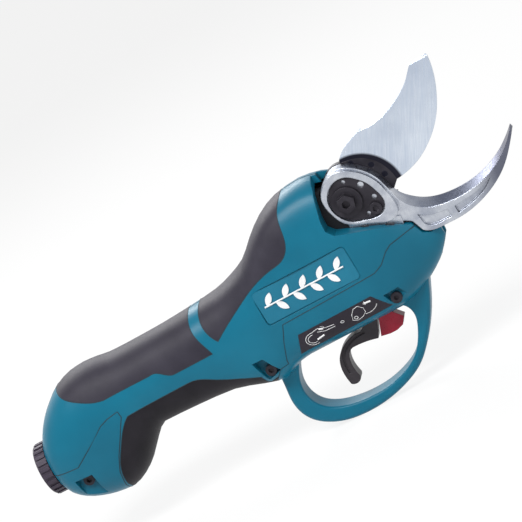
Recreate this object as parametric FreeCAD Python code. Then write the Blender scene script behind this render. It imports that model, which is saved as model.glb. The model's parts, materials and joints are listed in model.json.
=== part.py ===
import FreeCAD, Part
import math
import os

# Battery electric pruner, handpiece only.
# Row frame: origin on the blade pivot axis at the mid plane of the tool,
# +X forward along the drive axis, +Z up, +Y to the tool's left. Millimetres.

os.makedirs("parts", exist_ok=True)
V = FreeCAD.Vector

# ---- drive line ----
drive_z = -37.5            # height of motor, gearbox and screw axis
motor_radius = 15.0
motor_length = 52.0
motor_wall = 1.5
magnet_thickness = 2.4
rotor_gap = 0.6            # air gap between rotor core and magnets
motor_shaft_radius = 1.5
motor_bearing_radius = 4.5
motor_bearing_width = 3.5
running_gap = 0.04         # radial clearance of a shaft in its bore
free_gap = 0.4             # clearance between parts that never touch

# ---- planetary gearbox ----
gear_module = 0.6
sun_teeth = 12
planet_teeth = 15
planet_count = 3
gear_width = 8.0
gear_backlash = 0.08
gearbox_wall = 2.3
carrier_thickness = 4.0
planet_pin_radius = 1.5
bearing_bore_radius = 4.0
bearing_radius = 11.0
bearing_width = 7.0

# ---- screw, nut and rack ----
screw_radius = 4.0
thread_pitch = 5.0
thread_depth = 0.7
nut_radius = 8.0
nut_length = 26.0
nut_front = 4.0            # front face of the nut with the blades open
front_bearing_radius = 6.5
front_bearing_width = 5.0
rack_module = 1.5
sector_teeth_full = 32     # teeth that a full circle of the sector would have
blade_travel_deg = 48.0
rack_backlash = 0.12

# ---- blades and pivot ----
blade_thickness = 4.0
shear_gap = 0.3            # between the hook's flat back and the cutting blade
hook_ring_thickness = 11.7
hook_beak_thickness = 7.7
hook_pocket_depth = 1.8
ring_pocket_depth = 3.0
locking_plate_thickness = 1.6
bolt_radius = 4.0
bolt_flange_radius = 8.2
bolt_flange_thickness = 1.5
bolt_head_flats = 9.0
bolt_head_height = 3.6
bush_wall = 2.5
hub_radius = 14.5
nut_flats = 13.0
nut_height = 5.0
lock_screw_head_radius = 3.3
lock_screw_head_height = 1.9
rivet_radius = 1.6

# ---- casing ----
shell_wall = 2.6
pad_thickness = 1.8        # soft grip laid into the casing
recess_depth = 1.0        # badge and label recesses
case_gap = 0.9             # around the motor inside the grip
rear_half_width = 23.8
head_half_width = 23.0
grip_length = 48.0         # straight grip, from the rear bulge to the front housing
grip_front_x = -104.0
head_top = 19.0
floor_z = -63.5            # flat underside above the finger opening
frame_cheek_depth = 11.0   # well floor round the hook, from the mid plane
frame_cheek_width = 8.2     # far cheek of the head frame
frame_gap = 0.4            # head frame to the blade and its sector
section_points = 16        # points round each station of the casing

# ---- guard, trigger ----
guard_half_width = 7.0
guard_outer_rounding = 2.6
guard_inner_rounding = 1.5
trigger_width = 8.0
trigger_side_gap = 0.5
trigger_pin_radius = 1.5
trigger_hub_radius = 4.2
trigger_pin_x = -23.0
trigger_pin_z = -54.5
lock_pin_x = -14.0
lock_pin_z = -57.0
lock_width = 6.4

# ---- cord socket ----
socket_bore_radius = 7.5
socket_wall = 1.5
socket_bore_depth = 10.0
contact_well_depth = 5.0     # narrower well behind the bore, with the contacts
lock_ring_radius = 14.5
lock_ring_length = 6.4
contact_radius = 1.0
contact_length = 4.0
socket_z = -54.3

# ---- screws ----
case_screw_radius = 1.5
case_screw_head_radius = 3.0
case_screw_head_height = 2.4
boss_wall = 2.0
lip_wall = 2.2             # wall round the hook's well

# ---- derived sizes ----
grip_half_width = motor_radius + case_gap + shell_wall + pad_thickness
grip_half_height = grip_half_width + 2.7
grip_rear_x = grip_front_x - grip_length
casing_rear_x = grip_rear_x - 58.0
half_blade = blade_thickness / 2
hook_back_y = -half_blade - shear_gap
hook_ring_y = hook_back_y - hook_ring_thickness
hook_beak_y = hook_back_y - hook_beak_thickness
sector_pitch_radius = rack_module * sector_teeth_full / 2
sector_tip_radius = sector_pitch_radius + rack_module
ring_teeth = sun_teeth + 2 * planet_teeth
sun_pitch_radius = gear_module * sun_teeth / 2
planet_orbit = gear_module * (sun_teeth + planet_teeth) / 2
ring_pitch_radius = gear_module * ring_teeth / 2
gearbox_radius = ring_pitch_radius + gear_module * 1.25 + gearbox_wall
bush_radius = bolt_radius + bush_wall
cheek_y = half_blade + frame_gap
nut_travel = sector_pitch_radius * math.radians(blade_travel_deg)
screw_front_x = nut_front + 2.0
front_bearing_x = screw_front_x + 2.0
case_front_x = -70.0       # front face of the gearbox case
bearing_x = case_front_x - bearing_width - 1.0
carrier_x = bearing_x - 1.0 - carrier_thickness
gear_x = carrier_x - 0.6 - gear_width
case_rear_x = gear_x - 3.0
motor_front_x = case_rear_x
motor_rear_x = motor_front_x - motor_length


# ---------- helpers ----------

def save(name, shape):
    solids = shape.Solids
    keep = solids[0] if len(solids) == 1 else Part.makeCompound(solids)
    keep.exportStep("parts/" + name + ".step")
    box = keep.BoundBox
    print(f"{name}: {len(solids)} solid(s), {keep.Volume:.0f} mm3, valid {keep.isValid()}, "
          f"x {box.XMin:.1f}..{box.XMax:.1f} y {box.YMin:.1f}..{box.YMax:.1f} z {box.ZMin:.1f}..{box.ZMax:.1f}")
    return keep


def at(point):
    return V(point[0], 0, point[1])


def outline(start, *runs):
    """A closed wire in the XZ plane: a run of one point is a straight line, a longer run a curve."""
    edges = []
    here = start
    for run in runs:
        points = [at(p) for p in [here] + run]
        if len(points) == 2:
            edges.append(Part.makeLine(points[0], points[1]))
        else:
            curve = Part.BSplineCurve()
            curve.interpolate(points)
            edges.append(curve.toShape())
        here = run[-1]
    if math.dist(here, start) > 0.001:
        edges.append(Part.makeLine(at(here), at(start)))
    return Part.Wire(edges)


def closed_curve(points):
    curve = Part.BSplineCurve()
    curve.interpolate([at(p) for p in points], PeriodicFlag=True)
    return Part.Wire(curve.toShape())


def polygon(points):
    return Part.makePolygon([at(p) for p in points + points[:1]])


def upright(solid):
    """The same solid with its faces pointing outwards."""
    return solid.reversed() if solid.Volume < 0 else solid


def slab(wire, y_low, y_high):
    face = Part.Face(wire)
    face.translate(V(0, y_low, 0))
    return upright(face.extrude(V(0, y_high - y_low, 0)))


def ribbon(points, width):
    """A narrow band round an open line of points, as a closed polygon."""
    left = []
    right = []
    for i, (x, z) in enumerate(points):
        before = points[max(i - 1, 0)]
        after = points[min(i + 1, len(points) - 1)]
        dx, dz = after[0] - before[0], after[1] - before[1]
        length = math.hypot(dx, dz)
        nx, nz = -dz / length * width / 2, dx / length * width / 2
        left.append((x + nx, z + nz))
        right.append((x - nx, z - nz))
    return polygon(left + right[::-1])


def cyl_y(x, z, radius, y_low, y_high):
    return Part.makeCylinder(radius, y_high - y_low, V(x, y_low, z), V(0, 1, 0))


def cyl_x(y, z, radius, x_low, x_high):
    return Part.makeCylinder(radius, x_high - x_low, V(x_low, y, z), V(1, 0, 0))


def tube_x(y, z, outer, inner, x_low, x_high):
    return cyl_x(y, z, outer, x_low, x_high).cut(cyl_x(y, z, inner, x_low - 1, x_high + 1))


def box(x0, x1, y0, y1, z0, z1):
    return Part.makeBox(x1 - x0, y1 - y0, z1 - z0, V(x0, y0, z0))


def hex_y(x, z, flats, y_low, y_high):
    corner = flats / math.sqrt(3)
    points = []
    for k in range(6):
        angle = math.radians(60 * k + 15)
        points.append((x + corner * math.cos(angle), z + corner * math.sin(angle)))
    return slab(polygon(points), y_low, y_high)


def gear_points(module, teeth, widen=0.0, addendum=1.0, dedendum=1.25):
    """Corner points of an involute gear with a tooth centred on angle 0."""
    pitch_r = module * teeth / 2
    base_r = pitch_r * math.cos(math.radians(20))
    tip_r = pitch_r + addendum * module
    root_r = pitch_r - dedendum * module
    half_pitch = (math.pi * module / 2 + widen) / (2 * pitch_r)
    involute = math.tan(math.radians(20)) - math.radians(20)
    flank = []
    start_r = max(base_r, root_r)
    for step in range(4):
        r = start_r + (tip_r - start_r) * step / 3
        pressure = math.acos(min(1.0, base_r / r))
        flank.append((r, half_pitch + involute - (math.tan(pressure) - pressure)))
    if root_r < base_r:
        flank.insert(0, (root_r, flank[0][1]))
    points = []
    for tooth in range(teeth):
        middle = 2 * math.pi * tooth / teeth
        for r, half in flank:
            points.append((r, middle - half))
        for r, half in reversed(flank):
            points.append((r, middle + half))
    return [(r * math.cos(a), r * math.sin(a)) for r, a in points]


def gear_x_axis(points, x_low, x_high, y=0.0, z=drive_z):
    corners = [V(x_low, y + p, z + q) for p, q in points]
    face = Part.Face(Part.makePolygon(corners + corners[:1]))
    return face.extrude(V(x_high - x_low, 0, 0))


# ---------- casing surface ----------

def rear(x, top, bottom, half_width, squareness):
    return (grip_rear_x + x, top, bottom, half_width, squareness)


def casing_sections():
    """Stations along the casing: x, top, bottom, half width, squareness."""
    rw = rear_half_width
    gw = grip_half_width
    hw = head_half_width
    grip_top = drive_z + grip_half_height
    grip_bottom = drive_z - grip_half_height
    return [
        rear(-58.0, -40.0, -68.5, rw - 9.3, 2.2),
        rear(-55.5, -35.5, -72.5, rw - 6.3, 2.3),
        rear(-50.5, -29.0, -76.5, rw - 3.6, 2.4),
        rear(-43.5, -22.7, -79.6, rw - 1.6, 2.5),
        rear(-35.5, -17.0, -81.8, rw - 0.4, 2.5),
        rear(-26.5, -13.8, -82.7, rw, 2.5),
        rear(-18.0, -13.0, -79.6, rw - 0.5, 2.5),
        rear(-10.5, -13.5, -74.2, rw - 1.4, 2.4),
        rear(-3.0, grip_top - 0.1, -66.5, (rw + gw) / 2 - 0.8, 2.35),
        rear(6.0, grip_top - 0.3, grip_bottom + 0.6, gw + 0.3, 2.3),
        rear(26.0, grip_top, grip_bottom, gw, 2.3),
        (grip_front_x, grip_top + 1.2, grip_bottom - 1.5, gw + 0.5, 2.4),
        (-88.0, -11.8, -66.8, hw - 1.4, 2.6),
        (-77.0, -8.8, -69.2, hw - 0.7, 2.8),
        (-67.0, -4.4, -65.0, hw - 0.2, 3.0),
        (-57.0, 4.3, floor_z, hw, 3.1),
        (-47.0, 11.8, floor_z, hw, 3.2),
        (-35.0, head_top - 1.9, floor_z, hw, 3.2),
        (-20.0, head_top, floor_z, hw - 0.4, 3.2),
        (-8.0, head_top - 1.9, floor_z, hw - 1.2, 3.1),
        (3.0, head_top - 7.5, -62.6, hw - 3.0, 2.9),
        (12.0, 1.0, -59.2, hw - 6.0, 2.6),
        (20.0, -10.5, -54.8, hw - 9.5, 2.4),
        (28.0, -22.5, -48.6, hw - 14.0, 2.2),
        (33.5, -32.0, -42.0, 5.0, 2.0),
    ]


def slopes(xs, values):
    """Slope at each x of a smooth curve that keeps flat stretches flat and never overshoots."""
    steps = [(v1 - v0) / (x1 - x0) for x0, x1, v0, v1 in zip(xs, xs[1:], values, values[1:])]
    inner = [2 * a * b / (a + b) if a * b > 0 else 0.0 for a, b in zip(steps, steps[1:])]
    return [steps[0]] + inner + [steps[-1]]


def with_middles(sections):
    """The stations with one more, on a smooth curve, halfway between each two."""
    xs = [section[0] for section in sections]
    columns = list(zip(*sections))
    tangents = [slopes(xs, column) for column in columns[1:]]
    stations = []
    for i, (x0, x1) in enumerate(zip(xs, xs[1:])):
        stations.append(sections[i])
        middle = [(x0 + x1) / 2]
        for column, tangent in zip(columns[1:], tangents):
            bow = (x1 - x0) * (tangent[i] - tangent[i + 1]) / 8
            middle.append((column[i] + column[i + 1]) / 2 + bow)
        stations.append(tuple(middle))
    return stations + [sections[-1]]


def casing(inset):
    """Solid bounded by the casing's outer surface moved inwards by inset."""
    wires = []
    sections = with_middles(casing_sections())
    for i, (x, top, bottom, half_width, squareness) in enumerate(sections):
        if i == 0:
            x += inset
        if i == len(sections) - 1:
            x -= inset * 0.6
        half_height = (top - bottom) / 2 - inset
        centre = (top + bottom) / 2
        width = half_width - inset
        if i == len(sections) - 1:
            half_height = max(half_height, 1.0)
            width = max(width, 1.0)
        points = []
        for step in range(section_points):
            angle = 2 * math.pi * (step + 0.5) / section_points
            c, s = math.cos(angle), math.sin(angle)
            y = width * math.copysign(abs(c) ** (2 / squareness), c)
            z = centre + half_height * math.copysign(abs(s) ** (2 / squareness), s)
            points.append(V(x, y, z))
        curve = Part.BSplineCurve()
        curve.interpolate(points, PeriodicFlag=True)
        wires.append(Part.Wire(curve.toShape()))
    return Part.makeLoft(wires, True, True)


# ---------- outlines on the casing, seen from the right side ----------

def rear_at(x, z):
    return (grip_rear_x + x, z)


guard_rear_seam = [(-60.0, -38.8), (-64.6, -47.6), (-69.0, -57.5), (-69.4, -59.8), (-74.5, -60.2),
                   (-81.0, -67.0)]
front_seam = [(-60.0, -38.8), (-5.0, -37.8), (0.2, -35.7), (5.4, -30.9), (9.0, -29.0), (25.0, -27.6),
              (40.0, -27.6)]
grip_seam = [rear_at(-8.3, -38.9), (-60.0, -38.8)]
cap_top_seam = [rear_at(-8.3, -38.9), rear_at(-15.0, -39.7), rear_at(-20.0, -41.4), rear_at(-28.3, -47.0),
                rear_at(-42.3, -55.6), rear_at(-70, -55.6)]
cap_front_seam = [rear_at(-8.3, -38.9), rear_at(-8.0, -42.4), rear_at(-14.6, -52.3), rear_at(-20.2, -60.3), rear_at(-24.6, -68.3),
                  rear_at(-27.2, -77.5), rear_at(-28.0, -95.0)]


def rear_top_pad_outline():
    return outline(rear_at(-37.0, 10.0), [rear_at(-37.0, -14.0)], [rear_at(-34.3, -18.5), rear_at(-24.0, -25.6), rear_at(-17.0, -28.9),
                   rear_at(-11.5, -30.3)], [rear_at(16.0, -30.6)], [rear_at(20.8, -31.6), rear_at(25.2, -34.9), rear_at(28.6, -35.8)],
                   [(grip_front_x + 3.4, -35.6)], [(grip_front_x + 0.4, -27.5), (grip_front_x - 1.4, -20.0),
                   (grip_front_x - 0.4, -13.0), (grip_front_x + 1.2, -8.0)], [(grip_front_x + 1.2, 10.0)])


def front_top_pad_outline():
    left = grip_front_x + 8.6
    return outline((left, 10.0), [(left, -9.0)], [(left - 3.4, -17.2), (left - 2.6, -25.0), (-94.6, -31.2)],
                   [(-85.8, -25.8), (-75.5, -20.2), (-65.0, -14.9), (-50.0, -10.4), (-43.0, -8.8),
                    (-39.0, -5.6), (-36.6, -1.0), (-35.4, 5.7), (-34.6, 10.7), (-32.4, 15.6), (-28.5, 20.0)],
                   [(-26.0, 30.0)], [(left, 30.0)])


def lower_pad_outline():
    heel, foot = guard_rear_seam[-2:]
    tip = tuple(a + 0.3 * (b - a) for a, b in zip(heel, foot))
    return outline(rear_at(-5.0, -43.8), [(-119.5, -43.6)], [(-113.2, -45.2), (-106.5, -49.3), (-96.8, -54.4),
                   (-87.0, -58.9), tip], [foot], [(foot[0], -95.0)], [rear_at(-26.0, -95.0)],
                   [rear_at(-25.8, -77.5)], [rear_at(-24.6, -71.2), rear_at(-22.2, -65.2), rear_at(-17.8, -58.3), rear_at(-12.4, -50.8),
                   rear_at(-8.3, -46.3), rear_at(-5.0, -43.8)])


def hook_outline(inner_curve, ring_only=False):
    ring = [(20.8, -2.0), (19.0, 3.7), (15.3, 9.4), (10.6, 13.7), (4.8, 16.8), (-0.8, 17.0), (-6.4, 13.9),
            (-10.8, 9.0), (-11.7, 3.5), (-10.8, -1.5), (-8.8, -7.0), (-4.8, -11.6), (0.6, -14.4)]
    neck = [(8.4, -17.6), (18.1, -22.4), (23.5, -25.6)]
    under = [(29.0, -34.2), (37.4, -35.3), (46.0, -35.4), (57.4, -33.6), (67.7, -29.8), (78.1, -23.4),
             (85.5, -16.2), (92.0, -8.0)]
    return outline(inner_curve[-1], ring, neck, [(26.0, -32.3)], under, [inner_curve[0]], inner_curve[1:])


edge_curve = [(91.4, -6.2), (86.6, -10.5), (79.3, -15.7), (71.0, -19.6), (60.9, -22.2), (50.8, -22.8),
              (40.9, -21.7), (33.5, -19.0), (27.5, -14.6), (24.0, -10.6), (22.6, -7.6)]
face_curve = [(91.0, -7.2), (85.6, -13.0), (78.0, -18.6), (70.0, -22.4), (60.5, -24.9), (50.8, -25.7),
              (41.0, -24.8), (32.6, -22.2), (26.4, -17.4), (23.2, -12.2), (22.4, -7.8)]


hook_foot = [(-6.0, -8.0), (-6.0, -18.5), (3.0, -24.0), (13.0, -27.0), (19.0, -26.5), (20.0, -20.0)]
foot_screws = [(0.5, -18.6), (12.0, -23.4)]
well_rim = [(-12.0, 22.0), (-12.0, 14.0), (-13.6, 7.0), (-15.4, -1.0), (-15.6, -6.5), (-12.6, -10.4), (-7.0, -12.6),
            (0.4, -15.4), (8.1, -18.5), (17.7, -23.4), (22.8, -26.4), (25.2, -33.2), (28.4, -35.3), (37.3, -36.3)]


def well_outline():
    """Opening of the right shell round the hook ring and along the hook's lower edge."""
    return polygon([(-12.0, 40.0)] + well_rim + [(60.0, -36.4), (60.0, 40.0)])


def badge_outline(shrink=0.0):
    left, right, low, high = -66.8 + shrink, -11.4 - shrink, -36.2 + shrink, -16.8 - shrink
    r = 2.0
    return outline((left, low + r), [(left, high - r)], [(left + 0.6, high - 0.6), (left + r, high)],
                   [(right - r, high)], [(right - 0.6, high - 0.6), (right, high - r)], [(right, low + r)],
                   [(right - 0.6, low + 0.6), (right - r, low)], [(left + r, low)],
                   [(left + 0.6, low + 0.6), (left, low + r)])


label_corners = [(-61.0, -58.4), (-56.2, -47.6), (-13.2, -47.6), (-6.6, -58.4)]

# screw places: x, z and the pocket's outline
case_screws = [
    (grip_rear_x - 42.5, -65.5, [rear_at(-48.8, -62.4), rear_at(-38.2, -62.4), rear_at(-36.5, -95.0), rear_at(-47.0, -95.0)]),
    (-79.5, -58.8, [(-85.6, -50.4), (-79.4, -50.4), (-74.4, -60.6), (-83.0, -63.1)]),
    (-2.6, -55.6, [(-7.6, -50.8), (1.0, -50.8), (4.2, -60.4), (-4.6, -60.8)]),
]


def side_pocket(points, side, depth_y, grow=0.0):
    wire = polygon(points)
    if grow:
        wire = wire.makeOffset2D(grow)
    low, high = (-60.0, -depth_y) if side < 0 else (depth_y, 60.0)
    return slab(wire, low, high)


# ---------- casing pieces ----------

def largest(shape, count=1):
    return Part.makeCompound(sorted(shape.Solids, key=lambda s: -s.Volume)[:count])


def guard_ring():
    outer_line = outline((-80.5, -66.0), [(-81.6, -76.5), (-82.1, -83.0), (-80.8, -90.0), (-77.2, -96.0),
                         (-71.4, -100.6), (-62.8, -104.2), (-52.9, -105.7), (-42.9, -105.6), (-32.8, -104.0),
                         (-22.4, -100.8), (-12.8, -95.8), (-5.0, -88.6), (1.6, -80.4), (7.0, -72.0),
                         (11.4, -63.6), (15.0, -56.0)], [(4.0, -54.0)], [(4.0, floor_z + 1.6)],
                         [(-70.0, floor_z + 1.6)], [(-76.0, -58.0)])
    solid = slab(outer_line, -guard_half_width, guard_half_width)
    rims = [e for e in solid.Edges if e.BoundBox.ZMin < -90 and e.BoundBox.YLength < 0.1]
    solid = solid.makeFillet(guard_outer_rounding, rims)
    solid = solid.cut(finger_opening)
    rims = [e for e in solid.Edges if -100 < e.BoundBox.ZMin < -90 and e.BoundBox.YLength < 0.1
            and e.BoundBox.XMax < 0 and abs(abs(e.BoundBox.YMin) - guard_half_width) < 0.1]
    return solid.makeFillet(guard_inner_rounding, rims)


finger_line = outline((-66.4, floor_z), [(-70.6, -70.0), (-73.0, -77.0), (-72.8, -84.0), (-69.4, -90.6),
                      (-62.3, -95.4), (-52.5, -98.0), (-42.5, -98.8), (-32.5, -98.0), (-22.6, -95.3),
                      (-14.2, -91.0), (-8.4, -85.0), (-4.2, -78.0), (-2.0, -72.0), (-2.4, -67.0),
                      (-5.0, floor_z)])
finger_opening = slab(finger_line, -60, 60)

print("casing")
outer = casing(0.0)
pad_floor = casing(pad_thickness)
cavity = casing(pad_thickness + shell_wall)
shell = outer.cut(cavity)

pads = {}
for pad_name, pad_line in [("rear_top_grip", rear_top_pad_outline()), ("front_top_grip", front_top_pad_outline()),
                           ("lower_grip", lower_pad_outline())]:
    pads[pad_name] = outer.common(slab(pad_line, -60, 60)).cut(pad_floor)
    shell = shell.cut(pads[pad_name])

pocket_y = head_half_width - 8.0
well = slab(well_outline(), -60.0, hook_back_y + 0.3)
well_lip = slab(ribbon(well_rim, 2 * lip_wall), -60.0, -frame_cheek_depth - 0.2).common(outer).cut(well)
shell = shell.cut(well).fuse(well_lip)

linings = []
pockets = []
for screw_x, screw_z, corners in case_screws:
    linings.append(side_pocket(corners, -1, pocket_y - boss_wall, boss_wall).common(outer))
    linings.append(cyl_y(screw_x, screw_z, case_screw_radius + boss_wall, -head_half_width, head_half_width)
                   .common(outer))
    pockets.append(side_pocket(corners, -1, pocket_y))
    pockets.append(cyl_y(screw_x, screw_z, case_screw_radius, -head_half_width, head_half_width - 6.0))
shell = shell.fuse(linings).cut(pockets)
pads["lower_grip"] = pads["lower_grip"].cut([linings[2], pockets[2]])  # the middle screw's pocket

swing = math.radians(-62.0)
slot_fan = polygon([(0.0, 0.0), (100 * math.cos(swing), 100 * math.sin(swing)), (120.0, -40.0), (120.0, 60.0),
                    (-16.0, 60.0), (-9.0, 14.0)])
slot_half = half_blade + 0.6
shell = shell.cut([slab(slot_fan, -slot_half, slot_half), cyl_y(0, 0, hub_radius + 1.0, -slot_half, slot_half),
                   cyl_x(0, socket_z, socket_bore_radius + socket_wall, casing_rear_x - 5, casing_rear_x + 12)])

badge_y = head_half_width - recess_depth
recess_tools = []
for low, high in [(-60.0, -badge_y), (badge_y, 60.0)]:
    recess_tools.append(slab(badge_outline(), low, high))
label_solid = outer.common(slab(polygon(label_corners), -60, 60)).cut(casing(recess_depth * 0.6))
shell = shell.cut(recess_tools).cut(label_solid)

guard_region = slab(outline(front_seam[-1], *[[p] for p in front_seam[-2::-1]],
                            *[[p] for p in guard_rear_seam[1:]], [(-81.0, -120.0)], [(60.0, -120.0)],
                            [(60.0, -27.6)]), -60, 60)
cap_region = slab(outline(cap_top_seam[-1], *[[p] for p in cap_top_seam[-2::-1]],
                          *[[p] for p in cap_front_seam[1:]], [rear_at(-80.0, -95.0)], [rear_at(-80.0, -55.6)]), -60, 60)

ring = guard_ring().cut(cavity).cut(pads["lower_grip"])
guard_shell = shell.common(guard_region).fuse(ring).cut(finger_opening)
slot_y = trigger_width / 2 + trigger_side_gap
guard_shell = guard_shell.cut(box(-51.0, -7.0, -slot_y, slot_y, floor_z - 1.0, floor_z + 8.0))
for pin_x, pin_z in [(trigger_pin_x, trigger_pin_z), (lock_pin_x, lock_pin_z)]:
    posts = []
    for side in (-1, 1):
        low, high = sorted((side * (slot_y + 3.2), side * (slot_y + 7.0)))
        posts.append(box(pin_x - 3.4, pin_x + 3.4, low, high, floor_z + 2.0, pin_z + 3.4))
    guard_shell = guard_shell.fuse(posts)
    guard_shell = guard_shell.cut(cyl_y(pin_x, pin_z, trigger_pin_radius, -slot_y - 6.0, slot_y + 6.0))

main = shell.cut(guard_region).cut(ring)
rear_cap = main.common(cap_region)
main = main.cut(cap_region)
foot_room = [slab(polygon(hook_foot), -frame_cheek_depth - 0.3, -frame_cheek_depth + 3.0)]
for fx, fz in foot_screws:
    foot_room.append(cyl_y(fx, fz, 3.4, -frame_cheek_depth - 2.5, -frame_cheek_depth))
nut_room = cyl_y(0, 0, nut_flats / math.sqrt(3) + 1.5, cheek_y + frame_cheek_width, 60)
save("housing_right", largest(main.common(box(-300, 200, -60, 0, -200, 100)).cut(foot_room)))
save("housing_left", largest(main.common(box(-300, 200, 0, 60, -200, 100)).cut(nut_room)))
save("guard_housing", largest(guard_shell.cut(foot_room)))
save("rear_cap", largest(rear_cap))
pads["lower_grip"] = pads["lower_grip"].cut(cap_region)
for pad_name, pad in pads.items():
    save(pad_name, largest(pad))

for side, side_name in [(-1, "right"), (1, "left")]:
    low, high = sorted((side * 60.0, 0.0))
    save("label_" + side_name, largest(label_solid.common(box(-300, 200, low, high, -200, 100))))
    low, high = sorted((side * badge_y, side * (badge_y + recess_depth * 0.4)))
    save("name_plate_" + side_name, slab(badge_outline(0.4), low, high))

screws = []
for screw_x, screw_z, corners in case_screws:
    head = cyl_y(screw_x, screw_z, case_screw_head_radius, -pocket_y - case_screw_head_height, -pocket_y)
    socket = hex_y(screw_x, screw_z, 2.5, -pocket_y - case_screw_head_height - 1, -pocket_y - 1.0)
    screws.append(head.fuse(cyl_y(screw_x, screw_z, case_screw_radius, -pocket_y - 1.5, head_half_width - 8.0))
                  .cut(socket))
save("housing_screws", Part.makeCompound(screws))

# ---------- blades ----------

print("blades")
hook_far = hook_outline(edge_curve)
hook_near = hook_outline(face_curve)


def shifted(wire, y):
    moved = wire.copy()
    moved.translate(V(0, y, 0))
    return moved


hook = upright(Part.makeLoft([shifted(hook_near, hook_beak_y), shifted(hook_far, hook_back_y)], True, True))
ring_middle = (4.5, -0.5)
ring_boss = [(20.8, -2.0), (19.0, 3.7), (15.3, 9.4), (10.6, 13.7), (4.8, 16.8), (-0.8, 17.0), (-6.4, 13.9),
             (-10.8, 9.0), (-11.7, 3.5), (-10.8, -1.5), (-8.8, -7.0), (-4.8, -11.6), (0.6, -14.4), (8.4, -17.4),
             (15.0, -19.6), (20.6, -17.6), (22.0, -10.0)]
ring_pocket = [(-9.0, 2.5), (-7.4, 7.3), (-3.7, 11.1), (1.3, 12.8), (6.2, 11.9), (10.8, 8.3), (14.5, 3.5),
               (16.4, -1.5), (17.4, -7.8), (15.0, -12.4), (10.6, -14.0), (3.7, -12.6), (-3.0, -10.1), (-7.3, -5.2)]


def about_ring(points, grow):
    """The points moved out from the ring's middle by grow."""
    moved = []
    for x, z in points:
        dx, dz = x - ring_middle[0], z - ring_middle[1]
        length = math.hypot(dx, dz)
        moved.append((x + dx / length * grow, z + dz / length * grow))
    return moved


boss_line = closed_curve(about_ring(ring_boss, -0.6))
hook = hook.fuse(slab(boss_line, hook_ring_y, hook_beak_y + 1.0))
ring_pocket_line = closed_curve(ring_pocket)
pocket_floor_y = hook_ring_y + ring_pocket_depth
foot_back_y = -frame_cheek_depth + 2.5
foot = slab(polygon(hook_foot), -frame_cheek_depth, foot_back_y)
beak_pockets = [
    outline((27.5, -23.5), [(33.0, -27.0), (39.5, -28.4), (42.5, -28.8)], [(42.5, -33.0)],
            [(36.0, -32.9), (30.5, -31.8), (28.2, -29.5)]),
    outline((46.5, -28.9), [(55.0, -28.4), (63.0, -26.8), (70.0, -24.4)], [(64.0, -28.6), (56.0, -31.4), (46.5, -33.1)]),
]
hook = hook.fuse(foot)
hook_cuts = [slab(ring_pocket_line, hook_ring_y - 1, pocket_floor_y),
             cyl_y(0, 0, bolt_radius, -40, 10),
             cyl_y(0, 0, bush_radius, hook_back_y - 2.0, 10),
             cyl_y(11.6, -9.7, 1.5, pocket_floor_y - 1, pocket_floor_y + 5)]
for pocket_line in beak_pockets:
    hook_cuts.append(slab(pocket_line, hook_beak_y - 1, hook_beak_y + hook_pocket_depth))
for fx, fz in foot_screws:
    hook_cuts.append(cyl_y(fx, fz, 1.6, -20, 0))
save("hook_blade", hook.cut(hook_cuts))

plate = slab(closed_curve(about_ring(ring_pocket, -0.4)), pocket_floor_y - locking_plate_thickness, pocket_floor_y)
plate_cuts = [cyl_y(0, 0, bolt_radius, -40, 0), cyl_y(11.6, -9.7, 1.5, -40, 0)]
for hx, hz, hr in [(10.6, 4.6, 1.7), (13.6, -4.2, 1.4), (3.4, 10.0, 1.1), (6.8, -10.6, 1.1)]:
    plate_cuts.append(cyl_y(hx, hz, hr, -40, 0))
save("locking_plate", plate.cut(plate_cuts))
plate_y = pocket_floor_y - locking_plate_thickness
bolt_end = cheek_y + frame_cheek_width + nut_height + 1.0
bolt = cyl_y(0, 0, bolt_flange_radius, plate_y - bolt_flange_thickness, plate_y)
bolt = bolt.fuse([hex_y(0, 0, bolt_head_flats, plate_y - bolt_flange_thickness - bolt_head_height,
                        plate_y - bolt_flange_thickness + 0.2), cyl_y(0, 0, bolt_radius, plate_y - 0.2, bolt_end)])
save("pivot_bolt", bolt.cut(hex_y(0, 0, 4.0, plate_y - bolt_flange_thickness - bolt_head_height - 1,
                                  plate_y - bolt_flange_thickness - 1.2)))
lock_screw = cyl_y(11.6, -9.7, lock_screw_head_radius, plate_y - lock_screw_head_height, plate_y)
lock_screw = lock_screw.fuse(cyl_y(11.6, -9.7, 1.5, plate_y - 0.2, pocket_floor_y + 4.5))
save("locking_screw", lock_screw.cut(hex_y(11.6, -9.7, 3.0, plate_y - 3.0, plate_y - 0.8)))
feet = []
for fx, fz in foot_screws:
    head = cyl_y(fx, fz, 2.8, -frame_cheek_depth - 2.0, -frame_cheek_depth)
    feet.append(head.fuse(cyl_y(fx, fz, 1.6, -frame_cheek_depth - 0.5, -frame_cheek_depth + 7.0))
                .cut(hex_y(fx, fz, 2.5, -frame_cheek_depth - 3.0, -frame_cheek_depth - 0.8)))
save("hook_screws", Part.makeCompound(feet))

blade_back = [(26.2, -4.2), (34.5, -2.8), (41.7, -0.2), (49.0, 4.2), (55.3, 9.4), (60.6, 15.4), (65.1, 22.6),
              (68.5, 29.8), (70.9, 37.0), (72.3, 45.1)]
blade_spine = [(59.3, 42.4), (56.0, 38.9), (50.8, 34.9), (44.6, 31.5), (38.4, 28.9), (31.3, 27.1), (25.3, 26.9),
               (21.4, 27.4)]
arc_line = [(5.0, 17.0), (12.7, 15.6), (18.0, 12.8), (22.0, 8.6), (24.6, 3.6), (25.8, -0.6)]


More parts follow.
